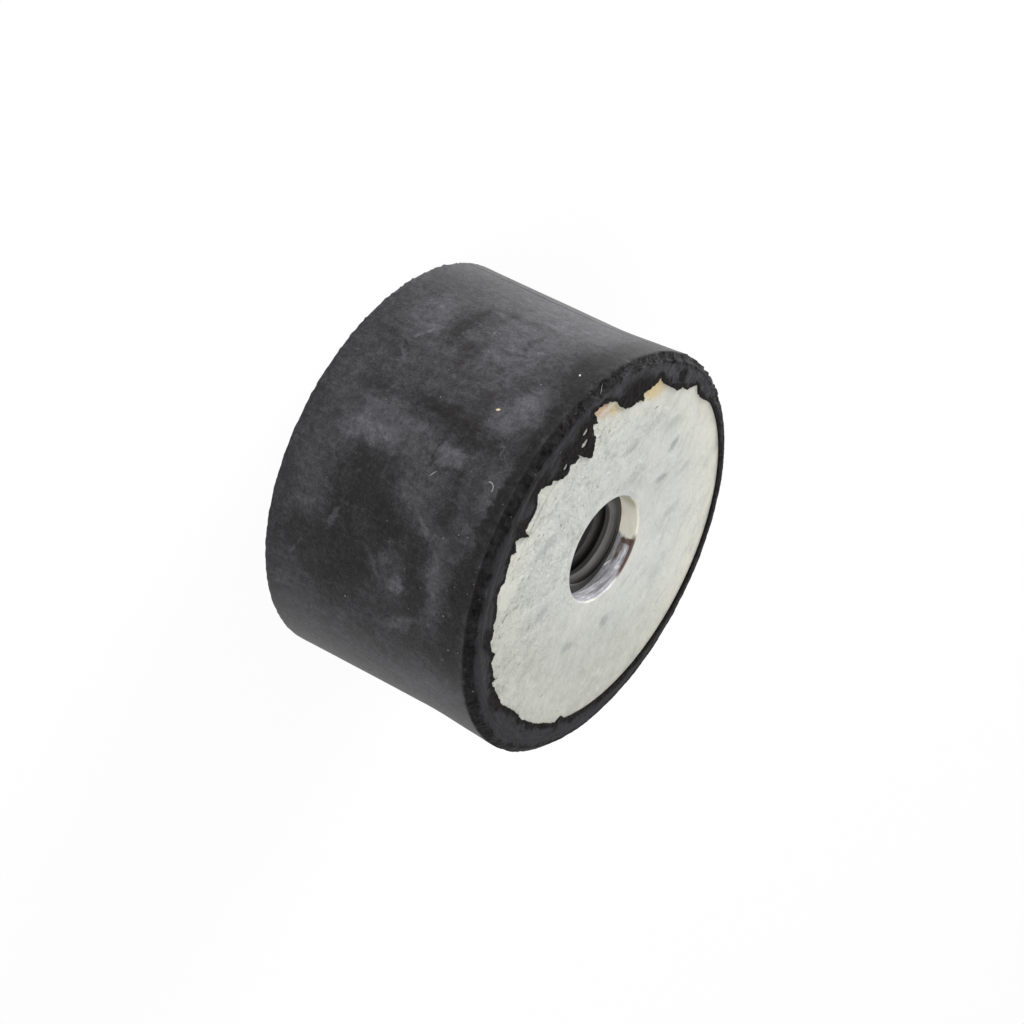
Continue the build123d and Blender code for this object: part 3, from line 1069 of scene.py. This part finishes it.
# %% Relief, gloss and the finished plate
# the wall is rougher where reflections are painted and on the rolled edge
duller_wall = add(tree, "Math", [add_up(tree, [painted_cream_reflection, painted_brown_reflection]), rolled], operation="MAXIMUM")
polish = add(tree, "Math", [wall, duller_wall], operation="SUBTRACT", use_clamp=True)
plate_rough = add(tree, "MapRange", [polish, 0, 1, 0.6, 0.38])
plate_metal = add(tree, "MapRange", [wall, 0, 1, 0.25, 0.12])
chalk_bump = add(tree, "Bump", {"Height": chalk, "Strength": 0.6, "Distance": 0.06 * MM})
pit_depth = add(tree, "Math", [pits, peeled], operation="MULTIPLY")
pit_bump = add(tree, "Bump", {
    "Height": pit_depth, "Strength": 1, "Distance": 0.2 * MM, "Normal": chalk_bump,
}, invert=True)
surface = {"Base Color": zinc, "Metallic": plate_metal, "Roughness": plate_rough, "Normal": pit_bump}
dress(plate, plate_look, surface, "mounting_plate")

# %% [markdown]
# ## Oily turned steel
# The thread was cut and left bare, with a film of cutting oil that darkens it. Thin painted highlights
# lie along the crests, and painted shade turns the bore black further down.

# %% Steel thread
thread_look, tree, place = start_material("oily_turned_steel")
centred = add(tree, "VectorMath", [place, (insert_x, 0, 0)], operation="SUBTRACT")
flat = add(tree, "VectorMath", [centred, (1, 1, 0)], operation="MULTIPLY")
from_bore = add(tree, "VectorMath", [flat], operation="LENGTH")
height = add(tree, "SeparateXYZ", [place]).outputs["Z"]
# painted shade: the steel keeps its colour near the mouth and goes dark further down the bore
lit = add(tree, "MapRange", [height, 10.6, 13.6])
# painted highlight along the crests of the thread
painted_crest_highlight = add(tree, "MapRange", [from_bore, crest_radius - 0.1, bore_radius + 0.06])
turned = add(tree, "Mapping", {"Vector": place, "Scale": (0.35, 0.35, 6)})
film = patchy(tree, turned, 5 / 6, (0.3, 0.7), (0.35, 1), roughness=0.75)
lit = add(tree, "Math", [lit, film], operation="MULTIPLY")
wall_steel = coated(tree, colour("3c3a38"), [(painted_crest_highlight, "7f7d7c")])
steel = add(tree, "Mix", {0: lit, 6: colour("2a2826"), 7: wall_steel}, data_type="RGBA")
surface = {"Base Color": steel, "Metallic": 0.55, "Roughness": 0.5}
dress(bush, thread_look, surface, "threaded_bush")

# %% [markdown]
# ## Floor and light
# The foot stands on a plain white floor. The floor is white to the camera and to reflections by
# the Light Path node, and part of it stays an ordinary matt surface, so that it keeps the shadow.
# One soft lamp stands beside the foot and one over the camera, and the pale world fills the rest.

# %% Floor
def seen_directly(tree):
    """1 for a ray that ends in the camera, a mirror or a clear piece, 0 for one that lights."""
    ray = add(tree, "LightPath", []).outputs
    seen = add(tree, "Math", [ray["Is Camera Ray"], ray["Is Glossy Ray"]], operation="MAXIMUM")
    return add(tree, "Math", [seen, ray["Is Transmission Ray"]], operation="MAXIMUM")


floor_size = 6              # metres
white_share = 0.92
bpy.ops.object.select_all(action="DESELECT")
bpy.ops.mesh.primitive_plane_add(size=floor_size)
floor = bpy.context.object
floor.name = "floor"
floor_look, tree, place = start_material("white_floor")
share = add(tree, "Math", [seen_directly(tree), white_share], operation="MULTIPLY")
matt = add(tree, "BsdfDiffuse", {"Color": colour("fafafa")})
white = add(tree, "Emission", {"Color": colour("ffffff"), "Strength": 1})
surface = add(tree, "MixShader", [share, matt, white])
add(tree, "OutputMaterial", {"Surface": surface})
floor.data.materials.append(floor_look)

# %% World and lamps
world = bpy.data.worlds.new("studio")
bpy.context.scene.world = world
world.use_nodes = True
tree = world.node_tree
tree.nodes.clear()
sky = add(tree, "Background", {"Color": colour("ffffff"), "Strength": 0.4})
backdrop = add(tree, "Background", {"Color": colour("ffffff"), "Strength": 1})
both = add(tree, "MixShader", [seen_directly(tree), sky, backdrop])
add(tree, "OutputWorld", {"Surface": both})


def soft_lamp(name, place, size, power, target=(0, 0, 8)):
    """A square lamp at a place in mm, turned towards the foot."""
    bpy.ops.object.light_add(type="AREA", location=Vector(place) * MM)
    lamp = bpy.context.object
    lamp.name = name
    lamp.data.size = size * MM
    lamp.data.energy = power
    lamp.rotation_mode = "QUATERNION"
    lamp.rotation_quaternion = (Vector(target) - Vector(place)).to_track_quat("-Z", "Y")


soft_lamp("side_lamp", (-300, 60, 60), size=240, power=1.8)
soft_lamp("front_lamp", (100, -300, 320), size=300, power=1.2)

# %% [markdown]
# ## Camera
# The photograph was taken from above the plate, at 27 degrees over the level, with a long lens
# and the foot lying askew in the picture. So the camera is aimed first and then rolled.

# %% Camera
camera_distance = 232.1
camera_height = 27.44       # degrees above the level
camera_roll = 116.4         # degrees, so that the plate ends up at the lower right
aim_point = Vector((0.035, 3.555, 6.585))
camera_data = bpy.data.cameras.new("camera")
camera = bpy.data.objects.new("camera", camera_data)
bpy.context.collection.objects.link(camera)
bpy.context.scene.camera = camera
camera_data.sensor_width = 36
camera_data.lens = 138.37
camera_data.clip_start, camera_data.clip_end = 0.01, 20
back = Vector((0, -cos(radians(camera_height)), sin(radians(camera_height))))
roll = Quaternion((0, 0, 1), radians(camera_roll))
camera.location = (aim_point + back * camera_distance) * MM
camera.rotation_mode = "QUATERNION"
camera.rotation_quaternion = (-back).to_track_quat("-Z", "Y") @ roll
print("camera at", [round(c / MM, 1) for c in camera.location])

# %% Finish
bpy.context.scene.view_settings.view_transform = "Standard"
